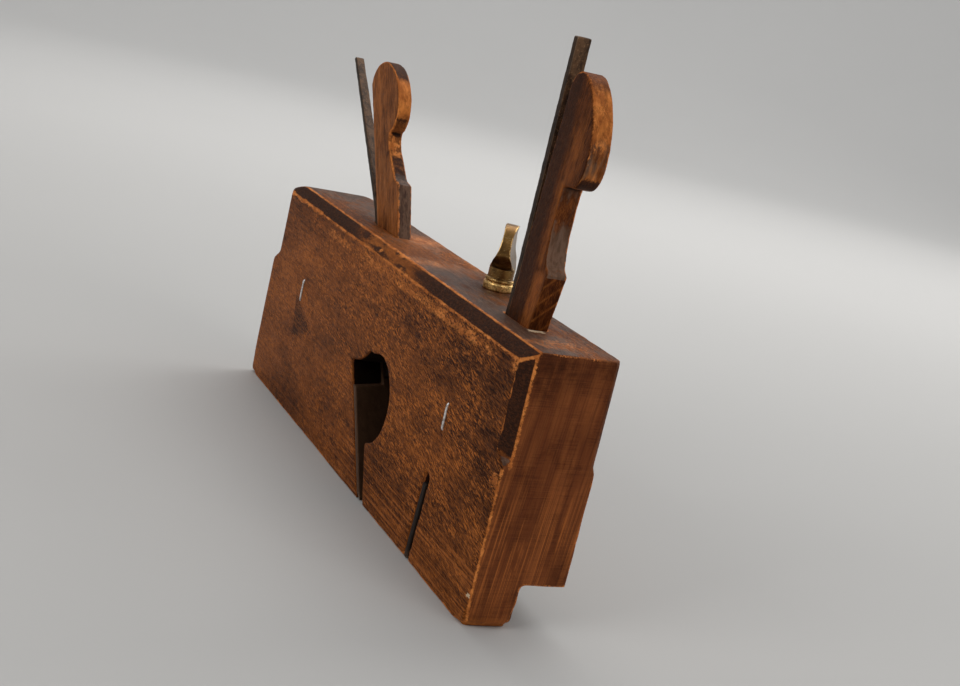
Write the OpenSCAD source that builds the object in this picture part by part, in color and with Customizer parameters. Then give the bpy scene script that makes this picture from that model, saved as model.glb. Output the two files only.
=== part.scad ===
// Wooden dado plane with a screw depth stop, in millimetres.
// +X points to the toe, +Y to the shoulder side and +Z up. The origin is the middle of the
// sole: halfway from heel to toe and halfway across the tongue.

/* [Stock] */
// Length of the body from heel to toe
body_l = 241.3; // [236:0.1:250]
// Height of the body above the sole
body_h = 84; // [82:0.5:88]
// Width of the body above the shoulder
body_w = 30.2; // [30:0.1:34]
// Width of the tongue, which is the width of the groove that the plane cuts
tongue_w = 15.5; // [15:0.1:15.9]
// Height of the tongue below the shoulder
tongue_h = 14; // [13.5:0.1:15]
// Width of the long top chamfer, measured on the top face
top_chamfer_y = 3.2; // [2:0.1:4]
// Width of the long top chamfer, measured on the side face
top_chamfer_z = 4.4; // [3:0.1:6]
// Depth of the bevel along the sole's toe edge
sole_bevel = 1.2; // [0.5:0.1:2]
// Height at which the upright corner chamfers stop
chamfer_stop_z = 50; // [40:1:56]
// Length over which the heel end of the top face is rounded down
heel_round_l = 17; // [10:1:24]
// Radius of that rounding
heel_round_r = 27; // [26:1:40]

/* [Main iron] */
// Angle of the iron's bed above the sole, in degrees
bed_pitch = 51.8; // [50:0.1:54]
// Angle by which the bed is skewed across the plane, in degrees
bed_skew = 22; // [18:1:24]
// Distance from the heel to the bed's edge at the sole, on the right side
mouth_from_heel = 144.3; // [140:0.1:148]
// Thickness of the iron
iron_t = 2.2; // [1.8:0.1:2.6]
// Height of the wide bit above the sole
bit_h = 33; // [28:1:34]
// Height at which the tang bends back, just above the body
tang_bend_z = 88; // [86:1:92]
// Angle of the tang above the bend, in degrees
tang_pitch = 41; // [40:1:52]
// Height of the tang's upper end
tang_top_z = 138; // [130:1:142]

/* [Wedges] */
// Thickness of the main wedge
wedge_t = 5.4; // [5:0.1:6.4]
// Thickness of the nicker's wedge
nicker_wedge_t = 6.6; // [6:0.1:7]

/* [Nicker] */
// Distance from the heel to the nicker's bed at the sole
nicker_from_heel = 191.2; // [188:0.1:194]
// Angle of the nicker's bed above the sole, in degrees
nicker_pitch = 93.8; // [92:0.1:94.5]
// Thickness of the nicker iron
nicker_t = 2.6; // [2.2:0.1:2.8]
// Height of the nicker's wide part
nicker_bit_h = 26; // [22:1:27]
// Height of the nicker tang's upper end
nicker_top_z = 168.8; // [160:0.1:172]

/* [Depth stop] */
// Distance from the heel to the screw's axis
screw_from_heel = 165; // [163:0.1:166]
// Distance from the plane's right side to the screw's axis
screw_from_right = 23.5; // [23.5:0.1:23.8]
// Radius of the screw's neck
neck_r = 2.95; // [2.7:0.01:3]
// Radius of the screw's threaded rod
rod_r = 2.4; // [2.2:0.01:2.45]
// Depth of the groove that the stop is set to cut
stop_set = 3.7; // [3.5:0.1:5]
// Thickness of the stop's shoe
shoe_t = 4.5; // [4:0.1:5]
// Length of the stop's shoe
shoe_l = 36; // [32:1:40]
// Height of the stop's bar
bar_h = 44; // [40:1:46]
// Width of the stop's bar
bar_w = 14; // [13:0.1:14]
// Thickness of the stop's bar
bar_t = 8; // [7.6:0.1:8]

/* [Hidden] */
$fn = 64;

// How far a cutting shape passes the face that it cuts
over = 1;
// Clearance between faces that slide on each other
slip = 0.05;
// Length that is more than enough for a cutting prism
long = 320;
// Number of sides in the round part of a finial
finial_steps = 44;

heel_x = -body_l / 2;
toe_x = body_l / 2;
right_y = -tongue_w / 2;
left_y = right_y + body_w;
tongue_left_y = tongue_w / 2;

// Upright corner chamfers as [along the side, across the end]
toe_right_chamfer = [6, 2.4];
toe_left_chamfer = [2, 2];
heel_right_chamfer = [7, 3.4];
heel_left_chamfer = [3, 2];
chamfer_stop_angle = 40;

// Main bed, at the right side
mouth_x = heel_x + mouth_from_heel;
edge_z = 0.1;
bit_clear = 0.1;
bevel_angle = 22;
iron_run = iron_t / sin(bed_pitch);
mouth_gap = 5.6;
mouth_front_pitch = 61.4;
slot_top_z = 26;
eye_x = mouth_x - 6.65;
eye_z = 34.3;
eye_r = 15.2;
eye_roof_z = 48.2;
eye_floor_z = 20;
eye_reach = 40;
brow_x = mouth_x - 33.85;
brow_z = 62.6;
brow_r = 22;

// Wedges and their mortises, across the plane
wedge_y = right_y + 12.3;
nicker_wedge_y = right_y + 11.4;
mortise_floor_z = 30;

// Front faces of the wedges, and the length of each wedge where it enters the body
wedge_front_pitch = 60;
wedge_foot = 23.2;
nicker_front_pitch = 102;
nicker_wedge_foot = 15.6;

// Nicker
nicker_x = heel_x + nicker_from_heel;
nicker_slot_w = 3.4;
nicker_slot_top = 28.4;
spur_h = 3;
spur_w = 2.4;

// Depth stop
screw_x = heel_x + screw_from_heel;
screw_y = right_y + screw_from_right;
ring_r = 5.1;
ring_h = 2.9;
sleeve_r = 4;
thumb_turn = 149;
fan_r = 8.6;
fan_z = 9.4;
hollow_r = 13;
hollow_z = 14;
waist = 2.7;
groove_top_z = 70;
plate_t = 2;
plate_w = 30;
plate_h = 58;
plate_low_z = 16;
plate_y = left_y - plate_t;
bar_y = plate_y - 0.1 - bar_t;
bar_low_z = stop_set + shoe_t;
collar_h = 4.9;
collar_r = 3.35;
collar_low_z = groove_top_z - 0.1 - collar_h;
rod_low_z = 24;
bar_bore_low_z = 16;
pin_r = 0.8;
shoe_w = left_y - tongue_left_y - 0.9;
shoe_y = tongue_left_y + 0.3;
shoe_corner_r = 3;
shoe_screw_dx = 4.7;
shoe_screw_r = 1.5;
shoe_screw_head_r = 2.8;
shoe_screw_l = 10;
plate_screw_dx = 11;
plate_screw_dz = 24;
plate_screw_r = 1.5;
plate_screw_l = 11;
plate_screw_head_r = 2.9;
head_fit = 0.02;

// Staples, as [x from the heel, height of the crown's middle]
heel_staple_at = [heel_x + 44.4, 47.4];
toe_staple_at = [heel_x + 197.7, 49.2];
staple_crown = 9.6;
staple_wire = 0.9;
staple_leg = 8;
staple_proud = 0.5;

// ---- helpers ----

// Prism whose outline lies in the XZ plane, from y_lo to y_hi
module upright_prism(outline, y_lo, y_hi)
    translate([0, y_hi, 0]) rotate([90, 0, 0]) linear_extrude(y_hi - y_lo) polygon(outline);

// Prism whose outline lies in the YZ plane, along the whole length
module end_prism(outline)
    translate([-long / 2, 0, 0]) rotate([90, 0, 90]) linear_extrude(long) polygon(outline);

// Prism that crosses the plane at the bed's skew; its outline is given on the right side
module skewed_prism(outline)
    translate([mouth_x, right_y, 0]) rotate([0, 0, bed_skew]) rotate([90, 0, 0])
        translate([0, 0, -long / 2]) linear_extrude(long)
            polygon([for (p = outline) [(p.x - mouth_x) * cos(bed_skew), p.y]]);

// X of the main bed at height z, on the right side
function bed_x(z) = mouth_x - z / tan(bed_pitch);

// X of the main bed at height z, at the given place across the plane
function bed_x_at(z, y) = bed_x(z) - (y - right_y) * tan(bed_skew);

// X of the nicker's bed at height z
function nicker_bed_x(z) = nicker_x - z / tan(nicker_pitch);

// Point at distance d from p, in the direction of the given angle
function step(p, angle, d) = [p.x + d * cos(angle), p.y + d * sin(angle)];

// Side outline of a bent iron: the back line starts at p0, rises at pitch_a to height bend_z,
// then at pitch_b to height top_z. The angles are measured up from the sole, facing the heel.
function iron_outline(p0, pitch_a, bend_z, pitch_b, top_z, t) =
    let (bend = [p0.x - (bend_z - p0.y) / tan(pitch_a), bend_z],
         top = [bend.x - (top_z - bend_z) / tan(pitch_b), top_z],
         mid_pitch = (pitch_a + pitch_b) / 2,
         mitre = t / cos((pitch_a - pitch_b) / 2))
    [p0, bend, top, step(top, 90 - pitch_b, t), step(bend, 90 - mid_pitch, mitre),
     step(p0, 90 - pitch_a, t)];

// Arc of an ellipse about the centre c, whose long axis leans by tilt, as [across, along]
// points; it runs from the chin of a finial, round its front and crown, to its back
function finial_arc(c, long_r, short_r, tilt, chin, back) =
    [for (i = [0:finial_steps])
        let (turn = chin + (back - chin) * i / finial_steps,
             s = long_r * cos(turn),
             w = short_r * sin(turn))
        [c.x - s * sin(tilt) + w * cos(tilt), c.y + s * cos(tilt) + w * sin(tilt)]];

// Cutting prism for an upright corner at the origin; it fades out downwards at z_lo
module corner_cut(size, z_lo)
    intersection() {
        linear_extrude(body_h + over)
            polygon([[-over, -over], [size.x * (1 + over / size.y), -over],
                [-over, size.y * (1 + over / size.x)]]);
        translate([0, 0, z_lo]) rotate(chamfer_stop_angle, [1, -1, 0])
            translate([-body_w, -body_w, 0]) cube([2 * body_w, 2 * body_w, 2 * body_h]);
    }

// Countersunk screw along -Z, head flush with z = 0
module flat_screw(r, head_r, length, slot_l) {
    difference() {
        union() {
            translate([0, 0, -length]) cylinder(r = r, h = length);
            translate([0, 0, -(head_r - r)]) cylinder(r1 = r, r2 = head_r, h = head_r - r);
        }
        translate([-slot_l / 2, -0.35, -0.7]) cube([slot_l, 0.7, 0.7 + over]);
    }
}

// Hole for that screw
module flat_screw_hole(r, head_r, length) {
    translate([0, 0, -length]) cylinder(r = r, h = length + over);
    translate([0, 0, -(head_r - r)]) cylinder(r1 = r, r2 = head_r, h = head_r - r);
    cylinder(r = head_r, h = over);
}

// ---- body ----

// Stock with tongue and shoulder, before it is mortised
module stock() {
    difference() {
        union() {
            translate([heel_x, right_y, 0]) cube([body_l, tongue_w, body_h]);
            translate([heel_x, right_y, tongue_h]) cube([body_l, body_w, body_h - tongue_h]);
        }
        translate([0, right_y, body_h]) end_prism([[-over, over],
            [top_chamfer_y * (1 + over / top_chamfer_z), over],
            [-over, -top_chamfer_z * (1 + over / top_chamfer_y)]]);
        translate([toe_x, right_y, 0]) mirror([1, 0, 0])
            corner_cut(toe_right_chamfer, chamfer_stop_z);
        translate([toe_x, left_y, 0]) rotate([0, 0, 180])
            corner_cut(toe_left_chamfer, chamfer_stop_z);
        translate([heel_x, right_y, 0]) corner_cut(heel_right_chamfer, chamfer_stop_z);
        translate([heel_x, left_y, 0]) mirror([0, 1, 0])
            corner_cut(heel_left_chamfer, chamfer_stop_z);
        heel_rounding();
        upright_prism([[toe_x - sole_bevel - over, -over], [toe_x + over, sole_bevel + over],
            [toe_x + over, -over]], right_y - over, left_y + over);
    }
}

// What is cut away to round the heel end of the top face
module heel_rounding() {
    difference() {
        translate([heel_x - over, right_y - over, body_h - heel_round_r])
            cube([heel_round_l + over, body_w + 2 * over, heel_round_r + over]);
        translate([heel_x + heel_round_l, left_y + 2 * over, body_h - heel_round_r])
            rotate([90, 0, 0]) cylinder(r = heel_round_r, h = body_w + 4 * over, $fn = 96);
    }
}

// Everything in front of the main bed, as a skewed block
module ahead_of_bed() {
    skewed_prism([[bed_x(-over), -over], [bed_x(body_h + over), body_h + over],
        [toe_x, body_h + over], [toe_x, -over]]);
}

// Eye and mouth, from which the shavings leave on the right side
module escapement() {
    wood = tongue_left_y + bit_clear;
    intersection() {
        ahead_of_bed();
        difference() {
            union() {
                translate([eye_x, wood, eye_z]) rotate([90, 0, 0])
                    cylinder(r = eye_r, h = wood - right_y + over, $fn = 96);
                upright_prism([[eye_x, eye_floor_z], [eye_x - eye_reach, eye_floor_z],
                    [eye_x - eye_reach, eye_roof_z], [eye_x, eye_roof_z]],
                    right_y - over, wood);
            }
            translate([brow_x, left_y, brow_z]) rotate([90, 0, 0])
                cylinder(r = brow_r, h = body_w + over, $fn = 96);
        }
    }
    intersection() {
        skewed_prism([[bed_x(-over), -over], [bed_x(slot_top_z), slot_top_z],
            [mouth_x + mouth_gap - slot_top_z / tan(mouth_front_pitch), slot_top_z],
            [mouth_x + mouth_gap + over / tan(mouth_front_pitch), -over]]);
        translate([heel_x, right_y - over, -2 * over])
            cube([body_l, wood - right_y + over, slot_top_z + 4 * over]);
    }
}

// Mortise for the main iron's tang and its wedge
module main_mortise() {
    y_lo = wedge_y - slip;
    y_hi = wedge_y + wedge_t + slip;
    front = wedge_foot_x() + slip;
    intersection() {
        ahead_of_bed();
        upright_prism([[heel_x, mortise_floor_z], [heel_x, body_h + over],
            [front - over / tan(wedge_front_pitch), body_h + over],
            [front + (body_h - mortise_floor_z) / tan(wedge_front_pitch), mortise_floor_z]],
            y_lo, y_hi);
    }
}

// X of the main wedge's front face where it enters the body
function wedge_foot_x() = bed_x_at(body_h, wedge_y) + iron_run + wedge_foot;

// Slot for the nicker, open on the right side and through the tongue
module nicker_slot() {
    back_top = nicker_slot_top + 1.6;
    upright_prism([[nicker_bed_x(-over), -over], [nicker_bed_x(back_top), back_top],
        [nicker_bed_x(nicker_slot_top) + nicker_slot_w, nicker_slot_top],
        [nicker_bed_x(-over) + nicker_slot_w, -over]],
        right_y - over, tongue_left_y + bit_clear);
}

// Mortise for the nicker's tang and its wedge
module nicker_mortise() {
    front = nicker_foot_x() + slip;
    drop = body_h - mortise_floor_z;
    upright_prism([[nicker_bed_x(nicker_slot_top - 2), nicker_slot_top - 2],
        [nicker_bed_x(body_h + over), body_h + over],
        [front - over / tan(nicker_front_pitch), body_h + over],
        [front + drop / tan(nicker_front_pitch), mortise_floor_z],
        [nicker_bed_x(nicker_slot_top) + nicker_slot_w, nicker_slot_top - 2]],
        nicker_wedge_y - slip, nicker_wedge_y + nicker_wedge_t + slip);
}

// X of the nicker wedge's front face where it enters the body
function nicker_foot_x() = nicker_bed_x(body_h) + nicker_t + nicker_wedge_foot;

// Groove for the stop's bar, recess for its plate, and the bore for the bush
module stop_cuts() {
    translate([screw_x - bar_w / 2 - 0.1, bar_y - 0.1, tongue_h - over])
        cube([bar_w + 0.2, plate_y - bar_y + 0.1, groove_top_z - tongue_h + over]);
    translate([screw_x - plate_w / 2, plate_y, plate_low_z])
        cube([plate_w, plate_t + over, plate_h]);
    translate([screw_x - bar_w / 2 - 0.1, plate_y - over, tongue_h - over])
        cube([bar_w + 0.2, plate_t + 2 * over, plate_low_z - tongue_h + over]);
    translate([screw_x, screw_y, groove_top_z - over])
        cylinder(r = sleeve_r, h = body_h - groove_top_z + 2 * over);
    at_plate_screws() flat_screw_hole(plate_screw_r + head_fit, plate_screw_head_r, plate_screw_l);
}

module body() {
    color("sienna") difference() {
        stock();
        escapement();
        main_mortise();
        nicker_slot();
        nicker_mortise();
        stop_cuts();
        staple(heel_staple_at);
        staple(toe_staple_at);
    }
}

// ---- irons and wedges ----

module main_iron() {
    bit_lo = right_y + bit_clear;
    bit_hi = tongue_left_y - bit_clear;
    tang_lo = wedge_y + 0.15;
    tang_hi = wedge_y + wedge_t - 0.15;
    edge = [bed_x(edge_z) + iron_run, edge_z];
    reach = 30;
    taper = 1.3;
    shoulder_h = 20;
    color("dimgray") intersection() {
        difference() {
            skewed_prism(iron_outline([bed_x(-reach), -reach], bed_pitch, tang_bend_z,
                tang_pitch, tang_top_z, iron_t));
            skewed_prism([edge, [edge.x - reach, edge.y + reach * tan(bevel_angle)],
                [edge.x - reach, -2 * reach], [edge.x + reach, -2 * reach],
                [edge.x + reach, edge.y]]);
        }
        end_prism([[bit_lo, -over], [bit_lo, bit_h], [tang_lo, bit_h], [tang_lo, body_h],
            [tang_lo, tang_top_z + over], [tang_hi - taper, tang_top_z + over],
            [tang_hi, body_h], [tang_hi, bit_h + shoulder_h], [bit_hi, bit_h], [bit_hi, -over]]);
    }
}

module main_wedge() {
    foot = [bed_x_at(body_h, wedge_y) + iron_run, body_h];
    back = iron_run + slip;
    color("chocolate") intersection() {
        translate([foot.x, wedge_y + wedge_t, foot.y]) rotate([0, bed_pitch - 90, 0])
            rotate([90, 0, 0]) linear_extrude(wedge_t) main_wedge_outline();
        skewed_prism([[bed_x(0) + back, 0], [bed_x(2 * body_h) + back, 2 * body_h],
            [toe_x, 2 * body_h], [toe_x, 0]]);
    }
}

// Outline of the main wedge, as [across, along] its back face: the split tip, the front face,
// the shoulder with its ledge, the hollow neck and the finial. It starts behind the back face,
// because the skewed iron trims it.
module main_wedge_outline() {
    spare = 3;
    front = [wedge_foot * sin(bed_pitch), -wedge_foot * cos(bed_pitch)];
    lean = tan(wedge_front_pitch - bed_pitch);
    tip = -62;
    low = front - 38 * [lean, 1];
    shoulder = [front.x + (6 - front.y) * lean, 6];
    neck = [[17.6, 9.9], [16, 16.3], [13.9, 24.5], [14, 28.5], [14.9, 31]];
    polygon(concat([[-spare, tip], [1.5, tip], low, shoulder], neck,
        finial_arc([11.3, 47.5], 17.8, 12.3, 26, 190, -22), [[-spare, 57]]));
}

module nicker_iron() {
    bit_lo = right_y + bit_clear;
    bit_hi = tongue_left_y - bit_clear;
    tang_lo = nicker_wedge_y + 0.3;
    tang_w = 5.6;
    taper = 0.6;
    color("dimgray") intersection() {
        upright_prism(iron_outline([nicker_bed_x(-over), -over], nicker_pitch, tang_bend_z, 90,
            nicker_top_z, nicker_t), right_y - over, left_y);
        end_prism([[bit_lo, edge_z], [bit_lo, nicker_bit_h], [tang_lo, nicker_bit_h + 0.5],
            [tang_lo + taper, nicker_top_z + over],
            [tang_lo + tang_w - taper / 3, nicker_top_z + over], [tang_lo + tang_w, body_h],
            [bit_hi, nicker_bit_h], [bit_hi, edge_z], [bit_hi - spur_w, spur_h],
            [bit_lo + spur_w, spur_h]]);
    }
}

module nicker_wedge() {
    color("chocolate")
        translate([nicker_bed_x(body_h) + nicker_t + slip, nicker_wedge_y + nicker_wedge_t, body_h])
            rotate([0, nicker_pitch - 90, 0]) rotate([90, 0, 0])
                linear_extrude(nicker_wedge_t) nicker_wedge_outline();
}

// Outline of the nicker's wedge, as [across, along] its back face
module nicker_wedge_outline() {
    front = [nicker_wedge_foot * sin(nicker_pitch), -nicker_wedge_foot * cos(nicker_pitch)];
    lean = tan(nicker_front_pitch - nicker_pitch);
    low = [front.x - (36 + front.y) * lean, -36];
    shoulder = [front.x + (18.6 - front.y) * lean, 18.6];
    neck = [[15.6, 20.4], [13.9, 25], [13, 31], [12.6, 38], [12.9, 44]];
    polygon(concat([[0, -51], [2.4, -51], [4.2, -46], low, shoulder], neck,
        finial_arc([11, 60.3], 17.2, 9.5, 27, 200, -29)));
}

// ---- depth stop ----

module thumbscrew() {
    seat_z = body_h + ring_h + slip;
    color("goldenrod") translate([screw_x, screw_y, 0]) {
        difference() {
            union() {
                translate([0, 0, collar_low_z - over])
                    cylinder(r = neck_r, h = seat_z - collar_low_z + 2 * over);
                translate([0, 0, rod_low_z])
                    cylinder(r = rod_r, h = collar_low_z - rod_low_z);
            }
            translate([0, 0, collar_low_z + collar_h / 2]) rotate([0, 90, 0])
                cylinder(r = pin_r, h = 4 * neck_r, center = true);
        }
        translate([0, 0, seat_z]) rotate_extrude()
            polygon([[0, 0], [4.9, 0], [4.9, 0.6], [4.5, 1.3], [4.5, 2], [5.2, 3.3], [4.6, 4.6],
                [0, 5.4]]);
        translate([0, 0, seat_z]) rotate([0, 0, thumb_turn]) thumb_piece();
    }
}

// Upright thumb piece: a fan seen from the side, hollowed on both faces
module thumb_piece() {
    foot_z = 3;
    foot_w = 10;
    centre = hollow_r + waist / 2;
    intersection() {
        translate([0, foot_w / 2 + over, 0]) rotate([90, 0, 0])
            linear_extrude(foot_w + 2 * over) difference() {
                union() {
                    translate([0, fan_z]) circle(r = fan_r);
                    translate([-foot_w / 2, foot_z]) square([foot_w, fan_z - foot_z]);
                }
                translate([-fan_r, -fan_r]) square([2 * fan_r, fan_r + foot_z]);
            }
        rotate([90, 0, 90]) translate([0, 0, -fan_r - over])
            linear_extrude(2 * fan_r + 2 * over) difference() {
                translate([-foot_w / 2, foot_z - over]) square([foot_w, fan_z + fan_r]);
                translate([centre, hollow_z]) circle(r = hollow_r, $fn = 96);
                translate([-centre, hollow_z]) circle(r = hollow_r, $fn = 96);
            }
    }
}

module stop_bush() {
    color("goldenrod") translate([screw_x, screw_y, 0]) difference() {
        rotate_extrude() polygon([[0, groove_top_z], [sleeve_r - head_fit, groove_top_z],
            [sleeve_r - head_fit, body_h], [ring_r, body_h], [ring_r, body_h + ring_h - 0.7],
            [ring_r - 0.7, body_h + ring_h], [0, body_h + ring_h]]);
        translate([0, 0, groove_top_z - over])
            cylinder(r = neck_r + slip, h = body_h + ring_h - groove_top_z + 2 * over);
    }
}

module retaining_collar() {
    color("dimgray") translate([screw_x, screw_y, collar_low_z]) difference() {
        cylinder(r = collar_r, h = collar_h);
        translate([0, 0, -over]) cylinder(r = neck_r + head_fit, h = collar_h + 2 * over);
        translate([0, 0, collar_h / 2]) rotate([0, 90, 0])
            cylinder(r = pin_r, h = 4 * collar_r, center = true);
    }
}

module collar_pin() {
    color("silver") translate([screw_x, screw_y, collar_low_z + collar_h / 2]) rotate([0, 90, 0])
        cylinder(r = pin_r - head_fit, h = 2 * collar_r - 0.3, center = true);
}

module stop_bar() {
    color("gray") difference() {
        translate([screw_x - bar_w / 2, bar_y, bar_low_z]) cube([bar_w, bar_t, bar_h]);
        translate([screw_x, screw_y, bar_bore_low_z])
            cylinder(r = rod_r + slip, h = bar_h + bar_low_z);
        at_shoe_screws() translate([0, 0, -shoe_screw_l])
            cylinder(r = shoe_screw_r + head_fit, h = shoe_screw_l);
    }
}

// Shoe with rounded corners
module stop_shoe() {
    color("goldenrod") difference() {
        translate([screw_x - shoe_l / 2, shoe_y, stop_set]) linear_extrude(shoe_t) {
            translate([shoe_corner_r, 0]) square([shoe_l - 2 * shoe_corner_r, shoe_w]);
            translate([0, shoe_corner_r]) square([shoe_l, shoe_w - 2 * shoe_corner_r]);
            for (x = [shoe_corner_r, shoe_l - shoe_corner_r])
                for (y = [shoe_corner_r, shoe_w - shoe_corner_r])
                    translate([x, y]) circle(r = shoe_corner_r);
        }
        at_shoe_screws()
            flat_screw_hole(shoe_screw_r + head_fit, shoe_screw_head_r, shoe_screw_l);
    }
}

// Places of the two shoe screws: heads at the shoe's underside, pointing up
module at_shoe_screws() {
    for (side = [-1, 1])
        translate([screw_x + side * shoe_screw_dx, bar_y + bar_t / 2, stop_set])
            mirror([0, 0, 1]) children();
}

module shoe_screws() {
    color("silver") at_shoe_screws()
        flat_screw(shoe_screw_r, shoe_screw_head_r - head_fit, shoe_screw_l - 0.2, 8);
}

module side_plate() {
    color("goldenrod") difference() {
        translate([screw_x - plate_w / 2, plate_y, plate_low_z])
            cube([plate_w, plate_t, plate_h]);
        at_plate_screws()
            flat_screw_hole(plate_screw_r + head_fit, plate_screw_head_r, plate_screw_l);
    }
}

// Places of the four plate screws: heads at the left side, pointing inwards
module at_plate_screws() {
    for (dx = [-1, 1], dz = [-1, 1])
        translate([screw_x + dx * plate_screw_dx, left_y,
            plate_low_z + plate_h / 2 + dz * plate_screw_dz])
            rotate([-90, 0, 0]) children();
}

module side_plate_screws() {
    color("goldenrod") at_plate_screws()
        flat_screw(plate_screw_r, plate_screw_head_r - head_fit, plate_screw_l - 0.2, 8);
}

// ---- staples ----

// Wire staple in the right side: a crown a little proud of the wood, and two legs
module staple(at) {
    translate([at.x, right_y, at.y]) {
        translate([-staple_wire / 2, -staple_proud, -staple_crown / 2])
            cube([staple_wire, staple_wire, staple_crown]);
        for (end = [-1, 1])
            translate([-staple_wire / 2, -staple_proud, end * (staple_crown - staple_wire) / 2
                - staple_wire / 2])
                cube([staple_wire, staple_leg, staple_wire]);
    }
}

module heel_staple() {
    color("silver") staple(heel_staple_at);
}

module toe_staple() {
    color("silver") staple(toe_staple_at);
}

body();
main_iron();
main_wedge();
nicker_iron();
nicker_wedge();
thumbscrew();
stop_bush();
retaining_collar();
collar_pin();
stop_bar();
stop_shoe();
shoe_screws();
side_plate();
side_plate_screws();
heel_staple();
toe_staple();
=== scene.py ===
"""Looks of a wooden dado plane with a screw depth stop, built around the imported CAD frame.

Lengths are in metres, except where a name or a comment says mm. +X points to the toe, +Y to the
shoulder side and +Z up from the sole.
"""

import math

import bmesh
import bpy
import numpy as np
from mathutils import Matrix, Vector


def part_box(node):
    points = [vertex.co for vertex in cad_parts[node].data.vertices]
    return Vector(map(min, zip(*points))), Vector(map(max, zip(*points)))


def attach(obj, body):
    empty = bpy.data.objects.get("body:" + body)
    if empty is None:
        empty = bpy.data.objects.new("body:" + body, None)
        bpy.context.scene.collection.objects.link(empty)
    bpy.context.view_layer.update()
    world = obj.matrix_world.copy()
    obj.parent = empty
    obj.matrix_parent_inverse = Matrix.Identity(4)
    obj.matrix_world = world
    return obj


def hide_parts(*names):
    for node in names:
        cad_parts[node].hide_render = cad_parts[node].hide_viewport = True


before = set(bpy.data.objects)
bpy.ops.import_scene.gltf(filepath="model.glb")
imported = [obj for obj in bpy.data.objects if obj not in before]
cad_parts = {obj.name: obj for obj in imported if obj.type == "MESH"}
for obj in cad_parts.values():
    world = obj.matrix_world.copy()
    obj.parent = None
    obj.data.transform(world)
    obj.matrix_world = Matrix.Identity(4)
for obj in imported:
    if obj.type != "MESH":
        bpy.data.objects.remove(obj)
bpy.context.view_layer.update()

MM = 0.001

# Where the depth stop's screw stands (x, y), and the height of the body's top, in mm
SCREW_AXIS = (44.35, 15.75)
BODY_TOP = 84.0

# What the wood's material reads from each vertex: orange wear, near-black dirt with painted shade
# in the openings and under overhangs, a slow darkening that is partly the wood's tone and partly
# painted shade, a smooth orange polish, handled dullness with dust and painted sheen, pale torn
# fibre, short flecks, fine lines along the grain, end grain, bright threads in the end grain, and
# near-black painted shade in closed corners and hollows
MARKS = ("rub", "grime_and_shade", "shade", "warm", "dull", "pale", "fleck", "lined", "end", "thread",
         "hollow_shade")


# ---- numbers on meshes ----

# Multipliers that make a scrambled number out of a whole-number place and a seed
PLACE_STEPS = (374761393, 668265263, 1440662683)
SEED_STEP = 974634777
STIRS = (1274126177, 2246822519)
WORD = 0xFFFFFFFF


def coordinates(mesh):
    """Vertex positions as an array, in millimetres."""
    co = np.empty(len(mesh.vertices) * 3, np.float32)
    mesh.vertices.foreach_get("co", co)
    return co.reshape(-1, 3).astype(float) / MM


def put_coordinates(mesh, co):
    """Moves the vertices to positions in millimetres."""
    mesh.vertices.foreach_set("co", (co * MM).astype(np.float32).ravel())
    mesh.update()


def normals(mesh):
    """Vertex normals as an array."""
    out = np.empty(len(mesh.vertices) * 3, np.float32)
    mesh.vertex_normals.foreach_get("vector", out)
    return out.reshape(-1, 3).astype(float)


def edge_pairs(mesh):
    """The two vertices of each edge."""
    out = np.empty(len(mesh.edges) * 2, np.int32)
    mesh.edges.foreach_get("vertices", out)
    return out.reshape(-1, 2)


def relaxed(co, pairs, steps, share=0.5):
    """Positions after each vertex has moved towards the mean of its neighbours, some times."""
    n = len(co)
    a, b = pairs[:, 0], pairs[:, 1]
    count = np.bincount(a, minlength=n) + np.bincount(b, minlength=n)
    count = np.maximum(count, 1)[:, None]
    for _ in range(steps):
        total = np.stack([np.bincount(a, co[b, k], n) + np.bincount(b, co[a, k], n)
                          for k in range(3)], 1)
        co = co + share * (total / count - co)
    return co


def scatter(i, j, k, seed):
    """A repeatable number from 0 to 1 for each whole-number place."""
    a, b, c = PLACE_STEPS
    h = (i * a + j * b + k * c + seed * SEED_STEP) & WORD
    h = ((h ^ (h >> 13)) * STIRS[0]) & WORD
    h = ((h ^ (h >> 16)) * STIRS[1]) & WORD
    return ((h ^ (h >> 15)) & 0xFFFFFF) / float(0xFFFFFF)


def clouds(co, size, seed):
    """Smooth random field from -1 to 1 at each point; size is its grain, one number or three."""
    p = co / np.asarray(size, float)
    cell = np.floor(p).astype(np.int64)
    t = p - cell
    t = t * t * (3 - 2 * t)
    out = np.zeros(len(co))
    for dx in (0, 1):
        for dy in (0, 1):
            for dz in (0, 1):
                w = ((t[:, 0] if dx else 1 - t[:, 0]) * (t[:, 1] if dy else 1 - t[:, 1])
                     * (t[:, 2] if dz else 1 - t[:, 2]))
                out += w * scatter(cell[:, 0] + dx, cell[:, 1] + dy, cell[:, 2] + dz, seed)
    return 2 * out - 1


def rise(low, high, x):
    """0 where x is below low, 1 above high, smooth between."""
    t = np.clip((x - low) / (high - low), 0, 1)
    return t * t * (3 - 2 * t)


def fall(low, high, x):
    """1 where x is below low, 0 above high, smooth between."""
    return 1 - rise(low, high, x)


def spot(x, middle, half, soft):
    """1 within half of the middle, 0 further out, with a soft edge."""
    return fall(half, half + soft, np.abs(x - middle))


def store(mesh, name, values):
    """Keeps one number per vertex for the materials."""
    layer = mesh.attributes.new(name, "FLOAT", "POINT")
    layer.data.foreach_set("value", values.astype(np.float32))


# ---- pieces ----

# Vertices nearer than this, in metres, are one, and edges sharper than this are bevelled
WELD_GAP = 1e-6
SHARP = math.radians(35)


def new_object(name, data):
    """Puts a mesh, a lamp or a camera into the scene."""
    ob = bpy.data.objects.new(name, data)
    bpy.context.scene.collection.objects.link(ob)
    return ob


def finished_mesh(name, work):
    """A mesh made of the faces in work, which is freed."""
    mesh = bpy.data.meshes.new(name)
    work.to_mesh(mesh)
    work.free()
    return mesh


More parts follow.
